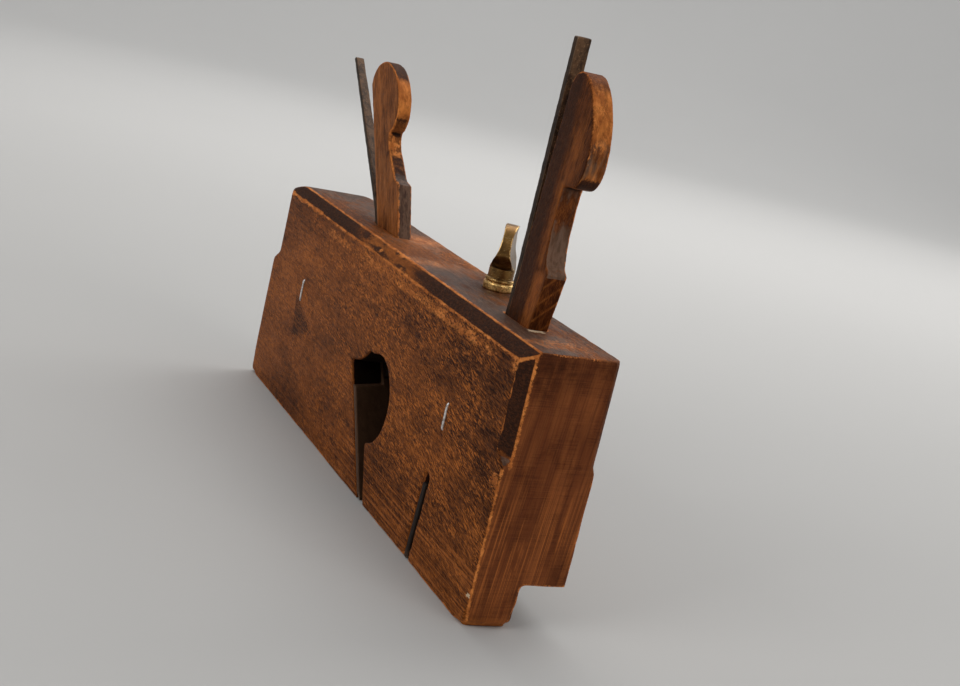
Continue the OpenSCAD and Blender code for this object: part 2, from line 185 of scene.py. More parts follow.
def tube(name, rings, closed):
    """A mesh between rings of places, where closed lists the rings that get a face."""
    work = bmesh.new()
    rows = [[work.verts.new(place) for place in ring] for ring in rings]
    for low, high in zip(rows, rows[1:]):
        for k in range(len(low)):
            m = (k + 1) % len(low)
            work.faces.new((low[k], low[m], high[m], high[k]))
    for i in closed:
        work.faces.new(rows[i])
    bmesh.ops.recalc_face_normals(work, faces=work.faces)
    return finished_mesh(name, work)


def applied(ob):
    """Bakes the object's modifiers into its mesh."""
    bpy.context.view_layer.update()
    graph = bpy.context.evaluated_depsgraph_get()
    mesh = bpy.data.meshes.new_from_object(ob.evaluated_get(graph))
    ob.modifiers.clear()
    ob.data = mesh
    return ob


def cad_copy(name, node):
    """A welded copy of a CAD node's mesh, as a piece of its own."""
    work = bmesh.new()
    work.from_mesh(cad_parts[node].data)
    bmesh.ops.remove_doubles(work, verts=work.verts, dist=WELD_GAP)
    mesh = finished_mesh(name, work)
    mesh.materials.clear()
    return new_object(name, mesh)


def fine_copy(name, node, grain_mm, rounding):
    """A copy of a CAD node in small even faces, with its edges rounded by rounding steps."""
    ob = cad_copy(name, node)
    remesh = ob.modifiers.new("even", "REMESH")
    remesh.mode = "VOXEL"
    remesh.voxel_size = grain_mm * MM
    applied(ob)
    co = relaxed(coordinates(ob.data), edge_pairs(ob.data), rounding)
    put_coordinates(ob.data, co)
    return ob


def standing_out(ob, reach_steps, full_mm):
    """How far each vertex stands out of its surroundings (to 1) or lies in a corner (to -1)."""
    mesh = ob.data
    co = coordinates(mesh)
    out = ((co - relaxed(co, edge_pairs(mesh), reach_steps)) * normals(mesh)).sum(1)
    return np.clip(out / full_mm, -1, 1)


def bent(ob, reach_steps):
    """How sharply the surface turns near each vertex, which picks out the arrises."""
    mean = relaxed(normals(ob.data), edge_pairs(ob.data), reach_steps)
    return np.sqrt(np.clip(2 * (1 - np.linalg.norm(mean, axis=1)), 0, None))


def store_all(ob, marks):
    """Keeps every mark that the wood's material reads, 0 where the piece does not paint it."""
    for name in MARKS:
        values = marks.get(name)
        if values is None:
            values = np.zeros(len(ob.data.vertices))
        store(ob.data, name, np.clip(values, 0, 1))


def dress(ob, body, node, material):
    """Paints a piece and hands it to its CAD body, in place of a CAD node."""
    ob.data.materials.clear()
    ob.data.materials.append(material)
    for f in ob.data.polygons:
        f.use_smooth = True
    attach(ob, body)
    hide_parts(node)
    return ob


def bevelled_copy(name, node, width_mm):
    """A copy of a CAD node with its sharp edges bevelled."""
    ob = cad_copy(name, node)
    bevel = ob.modifiers.new("edges", "BEVEL")
    bevel.width = width_mm * MM
    bevel.segments = 3
    bevel.limit_method = "ANGLE"
    bevel.angle_limit = SHARP
    return applied(ob)


# ---- materials ----


class Paint:
    """Short names for the shader nodes that a material is made of."""

    def __init__(self, name):
        self.material = bpy.data.materials.new(name)
        self.material.use_nodes = True
        self.tree = self.material.node_tree
        self.shader = self.tree.nodes["Principled BSDF"]
        self.place = self.tree.nodes.new("ShaderNodeTexCoord").outputs["Object"]

    def feed(self, socket, value):
        """Links an input to another node's output, or sets it to a colour or a number."""
        if isinstance(value, bpy.types.NodeSocket):
            self.tree.links.new(value, socket)
        elif isinstance(value, (tuple, list)) and len(value) == 3 and socket.type == "RGBA":
            socket.default_value = (*value, 1)
        else:
            socket.default_value = value

    def node(self, kind, inputs=None, **settings):
        """A new shader node with its inputs fed and its settings made."""
        n = self.tree.nodes.new("ShaderNode" + kind)
        for key, value in settings.items():
            setattr(n, key, value)
        for key, value in (inputs or {}).items():
            self.feed(n.inputs[key], value)
        return n

    def mark(self, name):
        """A number that the mesh keeps at each vertex."""
        return self.node("Attribute", attribute_name=name).outputs["Fac"]

    def stretched(self, size_mm, origin_mm=(0, 0, 0), turn_deg=(0, 0, 0)):
        """The piece's own coordinates, turned, then divided by a size along each turned axis."""
        return self.node(
            "Mapping",
            {
                "Vector": self.place,
                "Location": tuple(v * MM for v in origin_mm),
                "Rotation": tuple(math.radians(v) for v in turn_deg),
                "Scale": tuple(v * MM for v in size_mm),
            },
            vector_type="TEXTURE",
        ).outputs["Vector"]

    def noise(self, size_mm, detail=3.0, rough=0.55, twist=0.0, origin=(0, 0, 0), turn=(0, 0, 0)):
        """Cloudy noise, about 0.5 on average, with a grain size along each turned axis."""
        return self.node(
            "TexNoise",
            {
                "Vector": self.stretched(size_mm, origin, turn),
                "Scale": 1.0,
                "Detail": detail,
                "Roughness": rough,
                "Distortion": twist,
            },
        ).outputs["Fac"]

    def math(self, kind, a, b):
        """Two numbers brought together by one of the Math node's operations."""
        n = self.node("Math", operation=kind)
        self.feed(n.inputs[0], a)
        self.feed(n.inputs[1], b)
        return n.outputs[0]

    def times(self, *values):
        """The product of all the numbers."""
        out = values[0]
        for v in values[1:]:
            out = self.math("MULTIPLY", out, v)
        return out

    def plus(self, a, b):
        return self.math("ADD", a, b)

    def band(self, x, low, high):
        """0 below low, 1 above high, smooth between; the other way round if low > high."""
        down = low > high
        return self.node(
            "MapRange",
            {
                "Value": x,
                "From Min": min(low, high),
                "From Max": max(low, high),
                "To Min": 1.0 if down else 0.0,
                "To Max": 0.0 if down else 1.0,
            },
            interpolation_type="SMOOTHSTEP",
        ).outputs["Result"]

    def over(self, share, noise, spread):
        """Where a noise lets a share show: none at 0, patches in between, everything at 1."""
        reach = self.math("SUBTRACT", 1.0 + spread / 2, self.math("MULTIPLY", share, 1 + spread))
        return self.node(
            "MapRange",
            {
                "Value": self.band(noise, 0.3, 0.7),
                "From Min": self.math("SUBTRACT", reach, spread / 2),
                "From Max": self.plus(reach, spread / 2),
            },
            interpolation_type="SMOOTHSTEP",
        ).outputs["Result"]

    def mix(self, share, a, b, kind="MIX"):
        """A colour from a to b."""
        n = self.node("Mix", data_type="RGBA", blend_type=kind, clamp_factor=True)
        self.feed(n.inputs[0], share)
        self.feed(n.inputs[6], a)
        self.feed(n.inputs[7], b)
        return n.outputs[2]

    def darkened(self, share, colour, by):
        """The colour, multiplied by another where share is 1."""
        return self.mix(share, colour, self.mix(1.0, colour, by, "MULTIPLY"))

    def lerp(self, share, a, b):
        """A number from a to b."""
        n = self.node("Mix", data_type="FLOAT", clamp_factor=True)
        self.feed(n.inputs[0], share)
        self.feed(n.inputs[2], a)
        self.feed(n.inputs[3], b)
        return n.outputs[0]

    def relief(self, height, depth_mm):
        """A normal that shows a height from 0 to 1 as a depth."""
        inputs = {"Height": height, "Distance": depth_mm * MM}
        return self.node("Bump", inputs).outputs["Normal"]

    def finish(self, **sockets):
        """Feeds the shader; an underscore in a socket's name stands for a space."""
        for key, value in sockets.items():
            self.feed(self.shader.inputs[key.replace("_", " ")], value)
        return self.material


def beech_figure(p, grain, tilt, tones, shade):
    """Clouds of colour along the grain, short flecks and fine lines.

    Returns the colour, the noise of its finer clouds, and the height of the flecks and lines.
    """
    dark, mid, light = tones
    broad = p.noise((60, 15, 15), 4, 0.6, 0.4, turn=grain)
    mottle = p.noise((6, 1.6, 1.6), 4, 0.65, 0.3, turn=grain)
    tone = p.plus(p.times(broad, 0.55), p.times(mottle, 0.45))
    colour = p.mix(p.band(tone, 0.38, 0.52), dark, mid)
    colour = p.mix(p.band(tone, 0.5, 0.64), colour, light)
    colour = p.darkened(shade, colour, (0.2, 0.17, 0.17))

    # Short flecks, orange on dark
    fleck = p.noise((2.7, 0.42, 0.42), 3, 0.6, 0.9, origin=(3, 9, 4), turn=tilt)
    pit = p.noise((3.2, 0.38, 0.38), 3, 0.6, 0.7, origin=(41, 7, 13), turn=tilt)
    much = p.mark("fleck")
    black = p.times(p.band(pit, 0.48, 0.57), p.lerp(much, 0.35, 0.95))
    colour = p.darkened(black, colour, (0.26, 0.22, 0.22))
    drift = p.noise((16, 6, 6), 3, 0.6, 0.3, origin=(7, 2, 21), turn=grain)
    bright = p.times(p.band(fleck, 0.51, 0.6), p.lerp(much, 0.16, 1.0))
    bright = p.times(bright, p.lerp(p.band(drift, 0.38, 0.6), 0.35, 1.0))
    bright = p.times(bright, p.lerp(p.mark("shade"), 1.0, 0.6))
    colour = p.mix(bright, colour, (0.66, 0.2, 0.036))

    # Fine lines along the grain
    lines = p.noise((60, 0.42, 0.42), 2, 0.55, 0.1, origin=(0, 3, 8), turn=grain)
    lined = p.mark("lined")
    line = p.times(p.band(lines, 0.5, 0.6), lined, 0.62)
    colour = p.darkened(line, colour, (0.25, 0.22, 0.22))
    pale_line = p.times(p.band(lines, 0.46, 0.38), lined, 0.5)
    colour = p.mix(pale_line, colour, (0.45, 0.14, 0.034))
    height = p.math("SUBTRACT", p.times(bright, 0.3), p.times(black, 0.8))
    return colour, mottle, p.math("SUBTRACT", height, p.times(line, 0.7))


def end_grain(p, shade):
    """Sawn end: fine lines up and across, as the growth rings and the saw leave them.

    Returns the colour, and the height of the lines.
    """
    line, scratch = (0.08, 0.025, 0.011), (0.42, 0.14, 0.04)
    up = p.noise((9, 0.28, 60), 2, 0.5, 0.0, origin=(0, 2, 0), turn=(-4, 0, 0))
    across = p.noise((9, 14, 0.3), 3, 0.65, 0.4, origin=(0, 2, 7), turn=(2, 0, 0))
    wide_up = p.noise((20, 4, 40), 4, 0.6, 0.4, origin=(5, 1, 3), turn=(-5, 0, 0))
    smear = p.noise((9, 8, 14), 6, 0.72, 0.7, origin=(1, 7, 2))
    sawn = p.band(smear, 0.36, 0.56)
    cut = p.mix(p.band(wide_up, 0.34, 0.66), (0.18, 0.05, 0.016), (0.29, 0.088, 0.026))
    cut = p.mix(p.times(p.band(up, 0.5, 0.38), 0.42), cut, line)
    cut = p.mix(p.times(p.band(across, 0.5, 0.62), sawn, 0.4), cut, line)
    cut = p.mix(p.times(p.band(across, 0.44, 0.34), sawn, 0.16), cut, scratch)
    cut = p.darkened(p.times(p.band(smear, 0.48, 0.7), 0.5), cut, (0.4, 0.34, 0.34))
    thread = p.times(p.band(up, 0.53, 0.61), p.band(wide_up, 0.4, 0.52), p.mark("thread"))
    cut = p.mix(p.times(thread, 0.7), cut, (0.6, 0.18, 0.042))
    cut = p.darkened(shade, cut, (0.22, 0.2, 0.22))
    return cut, p.plus(p.times(across, 0.9), p.times(up, 0.9))


# The body's dark, middle and light wood, its two tones of dust and painted sheen, and the turn of
# the flecks from the grain, in degrees
STOCK_TONES = ((0.1, 0.027, 0.007), (0.245, 0.071, 0.015), (0.37, 0.111, 0.023))
STOCK_DUST_AND_SHEEN = ((0.055, 0.026, 0.015), (0.15, 0.082, 0.05))
FLECKS_TURN = 14


def old_beech(name, lean=0.0, tones=STOCK_TONES, dust_and_sheen_tones=STOCK_DUST_AND_SHEEN, dust_sheen=0.22):
    """Old, handled beech. The grain runs along X, or along X leaned up by lean degrees."""
    p = Paint(name)
    grain = (0, -lean, 0)
    soft = p.noise((7, 3.2, 3.2), 5, 0.7, 0.3, origin=(2, 6, 9), turn=grain)
    crumb = p.noise((1.3, 0.6, 0.6), 4, 0.7, 0.2, origin=(8, 1, 5), turn=grain)
    softened = p.band(soft, 0.35, 0.65)
    shade = p.times(p.mark("shade"), p.lerp(softened, 0.65, 1.0))
    colour, mottle, height = beech_figure(p, grain, (0, FLECKS_TURN - lean, 0), tones, shade)
    cut, cut_height = end_grain(p, shade)
    colour = p.mix(p.mark("end"), colour, cut)

    # Handled wood is dusty and has a painted sheen; wear is orange; dirt and painted shade are
    # near black; torn fibre is pale
    # A greyer tone: dust on handled wood, and a painted sheen
    dull = p.over(p.mark("dull"), soft, 1.0)
    colour = p.mix(p.times(dull, 0.85), colour, p.mix(p.band(mottle, 0.4, 0.6), *dust_and_sheen_tones))
    warm = p.times(p.mark("warm"), p.lerp(p.band(mottle, 0.35, 0.6), 0.45, 1.0))
    glow = p.mix(softened, (0.45, 0.13, 0.026), (0.74, 0.25, 0.055))
    colour = p.mix(warm, colour, glow)
    rub = p.over(p.mark("rub"), crumb, 0.6)
    rubbed = p.mix(softened, (0.4, 0.115, 0.026), (0.75, 0.26, 0.065))
    colour = p.mix(rub, colour, rubbed)
    # Near black: dirt, and painted shade in the openings and under overhangs
    grime_and_shade = p.over(p.mark("grime_and_shade"), crumb, 1.0)
    dirt_and_shade_tone = p.mix(p.band(crumb, 0.4, 0.7), (0.03, 0.012, 0.007), (0.085, 0.028, 0.011))
    colour = p.mix(grime_and_shade, colour, dirt_and_shade_tone)
    # Near-black painted shade in closed corners and hollows
    hollow_shade = p.band(p.mark("hollow_shade"), 0.08, 0.6)
    colour = p.mix(p.times(hollow_shade, 0.97), colour, (0.011, 0.006, 0.004))
    colour = p.mix(p.over(p.mark("pale"), crumb, 0.3), colour, (0.7, 0.52, 0.34))

    rough = p.lerp(rub, p.lerp(soft, 0.4, 0.58), 0.6)
    height = p.lerp(p.mark("end"), height, cut_height)
    height = p.plus(p.plus(height, p.times(crumb, 0.35)), p.times(rub, 0.25))
    return p.finish(
        Base_Color=colour,
        Roughness=rough,
        Specular_IOR_Level=p.lerp(dull, 0.05, dust_sheen),
        Normal=p.relief(height, 0.1),
    )


def old_steel(name):
    """Forged steel, brown with age, with darker scale and fine pits."""
    p = Paint(name)
    patch = p.noise((3.5, 3.5, 7), 5, 0.7, 0.4)
    speck = p.noise((0.7, 0.7, 0.7), 3, 0.7, origin=(3, 3, 3))
    colour = p.mix(p.band(patch, 0.36, 0.62), (0.035, 0.019, 0.011), (0.14, 0.073, 0.036))
    colour = p.mix(p.band(speck, 0.55, 0.72), colour, (0.27, 0.15, 0.075))
    colour = p.mix(p.band(p.mark("wear"), 0.35, 0.9), colour, (0.2, 0.14, 0.1))
    # Painted shade where the iron stands in the wood: darker, less metallic, near black where dark
    # says
    in_wood_shade = p.mark("in_wood_shade")
    colour = p.mix(p.times(in_wood_shade, 0.85), colour, (0.075, 0.036, 0.019))
    colour = p.mix(p.mark("dark"), colour, (0.012, 0.008, 0.006))
    height = p.plus(p.times(speck, 0.7), patch)
    return p.finish(
        Base_Color=colour,
        Metallic=p.times(p.lerp(patch, 0.2, 0.4), p.lerp(in_wood_shade, 1.0, 0.2)),
        Roughness=p.lerp(speck, 0.42, 0.6),
        Specular_IOR_Level=p.lerp(in_wood_shade, 0.2, 0.12),
        Normal=p.relief(height, 0.11),
    )


def old_brass(name):
    """Brass with brown patina, near-black painted shade in its hollows, and gold where hands touch
    it.
    """
    p = Paint(name)
    wear = p.mark("wear")
    hollow_shade = p.mark("hollow_shade")
    patch = p.noise((5, 5, 5), 4, 0.55, 0.6)
    fine = p.noise((0.6, 0.6, 0.6), 3, 0.6)
    scratch = p.noise((0.5, 7, 0.25), 2, 0.5, 0.3, origin=(4, 4, 2), turn=(20, 10, 0))
    colour = p.mix(p.band(patch, 0.3, 0.7), (0.1, 0.05, 0.016), (0.3, 0.155, 0.045))
    colour = p.mix(p.times(p.band(fine, 0.5, 0.7), 0.3), colour, (0.09, 0.055, 0.022))
    colour = p.mix(p.times(p.band(scratch, 0.6, 0.68), 0.5), colour, (0.6, 0.42, 0.18))
    colour = p.mix(p.over(wear, fine, 1.0), colour, (0.92, 0.58, 0.22))
    # Near-black painted shade in closed corners and low on the thumb piece's fan
    colour = p.mix(p.band(hollow_shade, 0.1, 0.6), colour, (0.035, 0.022, 0.012))
    return p.finish(
        Base_Color=colour,
        Metallic=0.92,
        Roughness=p.lerp(patch, 0.26, 0.44),
        Normal=p.relief(p.plus(fine, patch), 0.02),
    )


def plain_steel(name):
    """Clean steel, for the fittings inside and below."""
    p = Paint(name)
    patch = p.noise((2, 2, 5), 4, 0.65)
    return p.finish(
        Base_Color=p.mix(p.band(patch, 0.35, 0.65), (0.16, 0.14, 0.125), (0.36, 0.34, 0.32)),
        Metallic=0.9,
        Roughness=p.lerp(patch, 0.34, 0.55),
        Normal=p.relief(p.noise((0.4, 0.4, 6), 3, 0.6), 0.03),
    )


def bright_wire(name):
    """The staples' tinned wire."""
    p = Paint(name)
    patch = p.noise((0.8, 0.8, 0.8), 3)
    return p.finish(
        Base_Color=p.mix(p.band(patch, 0.35, 0.6), (0.42, 0.4, 0.38), (0.86, 0.85, 0.83)),
        Metallic=0.85,
        Roughness=p.lerp(patch, 0.22, 0.4),
        Normal=p.relief(p.noise((0.3, 0.3, 0.3), 2), 0.02),
    )


def pale_floor(name):
    """Plain, pale and matt."""
    p = Paint(name)
    patch = p.noise((700, 700, 700), 3)
    return p.finish(
        Base_Color=p.mix(patch, (0.5, 0.495, 0.485), (0.54, 0.535, 0.525)),
        Roughness=0.85,
        Normal=p.relief(p.noise((3, 3, 3), 2), 0.02),
    )


# ---- stage ----


def floor():
    """A round pale floor that curves up into a wall."""
    radius, wall, bend = 2.6, 2.0, 0.9
    turns, steps = 96, 12
    profile = [(0.5, 0.0), (radius - bend, 0.0)]
    for i in range(1, steps + 1):
        a = math.radians(90 * i / steps)
        profile.append((radius - bend + bend * math.sin(a), bend * (1 - math.cos(a))))
    profile.append((radius, wall))
    angles = [2 * math.pi * k / turns for k in range(turns)]
    rings = [[(r * math.cos(a), r * math.sin(a), z) for a in angles] for r, z in profile]
    mesh = tube("floor", rings, [0])
    for f in mesh.polygons:
        f.use_smooth = True
    mesh.materials.append(pale_floor("pale_floor"))
    new_object("floor", mesh)


def lamp(name, at, size, power, colour, aim=(0, 0, 0.05)):
    """A soft rectangular lamp that points to a place."""
    data = bpy.data.lights.new(name, "AREA")
    data.shape = "RECTANGLE"
    data.size, data.size_y = size
    data.energy = power
    data.color = colour
    ob = new_object(name, data)
    ob.location = at
    ob.rotation_euler = (Vector(aim) - Vector(at)).to_track_quat("-Z", "Y").to_euler()


def studio():
    """The floor, the lamps and the sky."""
    floor()
    lamp("top_lamp", (-0.7, 0.35, 1.3), (1.3, 1.0), 9, (1.0, 0.98, 0.95))
    lamp("side_lamp", (0.35, -1.35, 0.8), (0.9, 0.7), 6.5, (1.0, 0.985, 0.96))
    lamp("toe_lamp", (1.35, 0.45, 0.8), (0.8, 0.7), 4.5, (1.0, 0.98, 0.95))
    lamp("left_lamp", (-0.5, 1.4, 0.8), (0.9, 0.7), 5, (1.0, 0.99, 0.97))
    lamp("wall_lamp", (-0.9, 0.5, 1.5), (1.2, 1.2), 14, (1.0, 1.0, 1.0), (-2.4, 1.3, 0.4))
    world = bpy.data.worlds.new("soft_sky")
    world.use_nodes = True
    sky = world.node_tree.nodes["Background"].inputs
    sky["Color"].default_value = (0.95, 0.97, 1, 1)
    sky["Strength"].default_value = 0.42
    bpy.context.scene.world = world
    bpy.context.scene.view_settings.view_transform = "Standard"


# The photograph's camera, solved from the body's straight edges: its place, the ways that point
# ahead and up, and its lens
CAMERA_AT = (0.47309, -0.19825, 0.17215)
CAMERA_AHEAD = (-0.87456, 0.43324, -0.21781)
CAMERA_UP = (-0.29363, -0.11568, 0.94889)
LENS_MM = 56.03


def camera():
    """It stands to the right of the toe, and leans as the plane leans in the photograph."""
    ahead = Vector(CAMERA_AHEAD).normalized()
    right = ahead.cross(Vector(CAMERA_UP)).normalized()
    turn = Matrix((right, right.cross(ahead), -ahead)).transposed().to_4x4()
    data = bpy.data.cameras.new("camera")
    data.lens = LENS_MM
    data.sensor_width = 36
    data.clip_start = 0.02
    ob = new_object("camera", data)
    ob.matrix_world = Matrix.Translation(CAMERA_AT) @ turn
    bpy.context.scene.camera = ob


# ---- painted skins ----


class Skin:
    """A fine copy of a CAD node, and what the painting asks about its vertices, in mm."""

    def __init__(self, name, node, grain_mm, edge_full_mm):
        self.ob = fine_copy(name, node, grain_mm, 2)
        self.co = coordinates(self.ob.data)
        self.x, self.y, self.z = self.co.T
        self.n = normals(self.ob.data)
        self.low, self.high = (np.array(c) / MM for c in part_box(node))
        self.edge = standing_out(self.ob, 10, edge_full_mm)
        self.out = np.clip(self.edge, 0, 1)
        self.arris = bent(self.ob, 4) * (self.edge > 0)

    def facing(self, direction, start, full):
        """1 where the surface faces a way, 0 where it turns from it."""
        return rise(start, full, self.n @ np.array(direction, float))


# ---- the wooden body ----

# The ways that the chamfers face
TOP_CHAMFER = (0, -0.809, 0.588)
TOE_CHAMFER = (0.371, -0.928, 0)
HEEL_CHAMFER = (-0.437, -0.899, 0)
# The chamfers, in mm: the top one is cut in across the top and down the side, the toe's is cut in
# across the end and back along the side, and the toe's stops at a height
CHAMFER_IN = 3.2
CHAMFER_DOWN = 4.4
CORNER_IN = 2.3
CORNER_BACK = 5.75
CHAMFER_STOP = 50

# Bounds, in mm, of the eye with its throat and of the nicker's slot. TONGUE_LEFT is just inside
# the tongue's left face, and SOLE_RIM leaves out the openings' rims on the sole
THROAT_HEEL = -100
EYE_HEEL = -8
EYE_TOE = 33.5
EYE_TOP = 74
EYE_DEPTH = 16
TONGUE_LEFT = 7
SLOT_TOP = 34
SOLE_RIM = 0.9

# Corners (x, z), in mm, of a stain on the right side, under the staple by the heel
STAIN = ((-82.5, 45.5), (-77.5, 28), (-57, 35.5))
# Darker and lighter places on the right side: x, z and radius, in mm
DARK_PLACES = ((114, 46, 5), (118, 33, 4), (60, 41, 7), (36, 18, 8), (-60, 5, 4))
LIGHT_PLACES = ((-69, 33, 14), (-42, 69, 10), (5, 10, 12))


def inside_distance(x, z, corners):
    """How far points lie inside a triangle whose corners are given anticlockwise."""
    gaps = []
    for (ax, az), (bx, bz) in zip(corners, corners[1:] + corners[:1]):
        length = math.hypot(bx - ax, bz - az)
        gaps.append(((bx - ax) * (z - az) - (bz - az) * (x - ax)) / length)
    return np.minimum.reduce(gaps)


def line_gap(co, start, end):
    """How far points lie from the straight line between two points."""
    start, along = np.array(start, float), np.subtract(end, start)
    share = np.clip((co - start) @ along / (along @ along), 0, 1)
    return np.linalg.norm(co - start - share[:, None] * along, axis=1)


def find_faces(s):
    """Marks the body's faces and chamfers, each from 0 to 1."""
    x, y, z, low, high = s.x, s.y, s.z, s.low, s.high
    s.right = s.facing((0, -1, 0), 0.8, 0.95)
    s.left = s.facing((0, 1, 0), 0.8, 0.95) * (y > high[1] - 2)
    s.side = s.right + s.left
    s.top = s.facing((0, 0, 1), 0.8, 0.95)
    s.toe = s.facing((1, 0, 0), 0.75, 0.95)
    s.heel = s.facing((-1, 0, 0), 0.75, 0.95)
    upper = z > CHAMFER_STOP - 3
    s.top_cham = s.facing(TOP_CHAMFER, 0.93, 0.985) * (z > high[2] - 8) * (y < low[1] + 6)
    s.toe_cham = s.facing(TOE_CHAMFER, 0.965, 0.99) * (x > high[0] - 9) * upper
    s.heel_cham = s.facing(HEEL_CHAMFER, 0.95, 0.985) * (x < low[0] + 10) * upper
    s.stop_facet = (x > high[0] - 9) * (y < low[1] + 4) * spot(z, CHAMFER_STOP - 1, 2.5, 1)
    s.stop_facet *= rise(0.25, 0.5, s.n[:, 2])


def find_openings(s):
    """Marks the eye with its throat, and the nicker's slot: hands cannot reach them, and painted
    shade goes inside them.
    """
    x, y, z, n, face = s.x, s.y, s.z, s.n, s.low[1]
    opening = (x > THROAT_HEEL) * (x < EYE_TOE) * (z > SOLE_RIM) * (z < EYE_TOP)
    deep = (x > EYE_HEEL) * (y < EYE_DEPTH) * (n[:, 1] < 0.8) * (n[:, 2] > -0.8)
    s.cave = opening * (y > face + 0.8) * ((y < TONGUE_LEFT) + deep > 0)
    s.eye_rim = (x > EYE_HEEL - 1) * (x < EYE_TOE + 2.5) * (z < 54) * (y < face + 3)
    nicker_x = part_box("nicker_iron")[0].x / MM
    s.slot = (x > nicker_x - 3) * (x < nicker_x + 12) * (z < SLOT_TOP)
    within = (z > SOLE_RIM) * (y > face + 0.9) * (y < TONGUE_LEFT) * (np.abs(n[:, 2]) < 0.8)
    s.slot_wall = s.slot * within * (np.abs(n[:, 0]) + np.abs(n[:, 1]) > 0.6)


def body_shade(s):
    """Slow changes of tone: darker to the toe and the top, and by the sole."""
    x, y, z, grain, fine, blot = s.x, s.y, s.z, s.grain, s.fine, s.blot
    shade = 0.16 + 0.45 * rise(34, 76, z + 5 * grain) * rise(-10, 80, x + 8 * grain)
    shade += 0.75 * rise(90, 113, x + 4 * grain) * rise(20, 46, z) * (0.8 + 0.5 * grain)
    shade += (0.3 * rise(46, 76, z) * fall(-108, -64, x) + 0.34 * blot + 0.2 * grain
              + 0.1 * fine)
    shade += 0.2 * fall(2, 18, z) * rise(-20, 40, x)
    for at_x, at_z, r in DARK_PLACES:
        gap = np.hypot((x - at_x) / 1.5, z - at_z)
        shade += 0.4 * fall(0.3 * r, r, gap + 1.2 * grain)
    for at_x, at_z, r in LIGHT_PLACES:
        shade -= 0.25 * fall(0.3 * r, r, np.hypot((x - at_x) / 1.6, z - at_z))
    shade = shade * s.right
    shade += s.left * (0.3 + 0.4 * blot + 0.25 * rise(52, 80, z) + 0.15 * grain)
    shade += s.toe * (0.12 + 0.55 * rise(66, 82, z + 2 * fine) + 0.25 * blot)
    shade += s.toe * 0.6 * fall(0, 14, z) * fall(-4, 4, y)
    shade += s.toe * 0.5 * fall(2, 7, np.hypot(y - 19, (z - 17) / 1.6))
    shade += s.heel * (0.35 + 0.4 * blot) + s.top * (0.5 + 0.4 * blot)
    # Painted shade on the faces that turn from the sides, the ends and the top, such as the sole
    # and the undersides
    shade += (1 - np.maximum.reduce([s.side, s.toe, s.heel, s.top])) * 0.45
    stain = rise(-0.4, 0.9, inside_distance(x, z, STAIN) + 0.4 * fine) * s.right
    return shade + 1.3 * stain


def body_dirt_and_shade(s):
    """Dirt in the chamfers and on the top round the thumb piece, and painted shade in the
    openings.
    """
    chamfer = s.top_cham * (0.97 - s.worn_run * (0.58 - 0.7 * s.dashes))
    thumb = np.hypot(s.x - SCREW_AXIS[0], s.y - SCREW_AXIS[1])
    top = s.top * (0.25 + 0.35 * s.blot + 0.5 * fall(6, 20, thumb + 4 * s.grain))
    grime_and_shade = np.maximum.reduce([chamfer, s.toe_cham, 0.8 * s.heel_cham, top, 0.95 * s.cave,
                               s.slot_wall])
    return grime_and_shade * (1 - 0.7 * s.stop_facet)


def chamfer_arrises(s):
    """Worn lines along the chamfers: ends, wear, how uneven it is, and half width in mm."""
    face_y, top_z, toe_x = s.low[1], s.high[2], s.high[0]
    inner_y, lower_z = face_y + CHAMFER_IN, top_z - CHAMFER_DOWN
    corner_y, corner_x = face_y + CORNER_IN, toe_x - CORNER_BACK
    corner_z = lower_z + CHAMFER_DOWN * CORNER_IN / CHAMFER_IN
    from_x = s.low[0] + 13
    return (
        ((from_x, inner_y, top_z), (toe_x, inner_y, top_z), 1.05, 0.25, 0.95),
        ((from_x, face_y, lower_z), (corner_x, face_y, lower_z), 0.9, 0.3, 1.1),
        ((from_x - 6, face_y, lower_z), (-72, face_y, lower_z), 0.95, 0.3, 1.7),
        ((corner_x, face_y, lower_z), (toe_x, corner_y, corner_z), 1.15, 0.15, 1.25),
        ((toe_x, corner_y, corner_z), (toe_x, inner_y, top_z), 1.0, 0.2, 1.1),
        ((toe_x, corner_y, CHAMFER_STOP), (toe_x, corner_y, corner_z), 1.1, 0.12, 1.05),
        ((corner_x, face_y, CHAMFER_STOP), (corner_x, face_y, lower_z), 0.72, 0.35, 0.95),
    )


